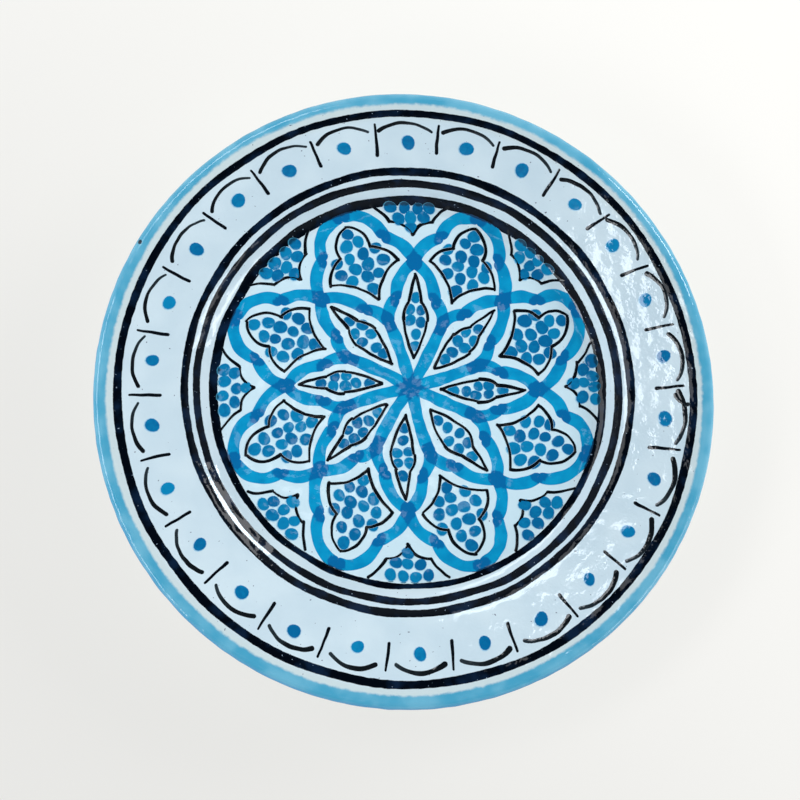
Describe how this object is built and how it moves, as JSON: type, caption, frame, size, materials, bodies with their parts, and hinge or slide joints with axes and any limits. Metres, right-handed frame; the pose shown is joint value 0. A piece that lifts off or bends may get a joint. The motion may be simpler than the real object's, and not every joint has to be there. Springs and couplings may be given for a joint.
{
  "type": "decorated ceramic plate",
  "caption": "Round thrown clay plate with a flat well, sloping flange and glazed lip, painted with black bands, a rim of arches and dots, and an interlaced petal rosette.",
  "frame": {"origin": "centre of the foot ring's flat resting face", "axes": "+Z is the plate's axis, up out of the well; +X runs through the middle of one leaf of the rosette, and the pattern repeats every 45 degrees"},
  "size_m": [0.27, 0.27, 0.0364],
  "materials": {
    "red_clay": "bare fired earthenware, matt",
    "white_glaze": "glossy bluish white glaze, slightly rippled",
    "turquoise_glaze": "glossy clear turquoise glaze",
    "black_band": "glossy blue black banding under glaze",
    "black_line": "glossy black brush line under glaze",
    "thin_black": "thin black brush stroke under glaze",
    "azure_ribbon": "glossy translucent azure brush stroke",
    "blue_dots": "glossy blue glaze dots"
  },
  "bodies": {
    "root": {"clay_body": "red_clay", "face_glaze": "white_glaze", "back_glaze": "white_glaze", "recess_glaze": "white_glaze", "lip_band": "turquoise_glaze", "rim_ring": "black_band", "shoulder_ring": "black_band", "wall_ring": "black_band", "floor_ring": "black_band", "rim_bars": "black_line", "rim_arches": "thin_black", "rim_dots": "blue_dots", "petal_ribbons": "azure_ribbon", "leaf_outlines": "black_line", "leaf_dots": "blue_dots", "shield_outlines": "black_line", "shield_dots": "blue_dots", "spandrel_outlines": "black_line", "spandrel_dots": "blue_dots"}
  },
  "joints": []
}
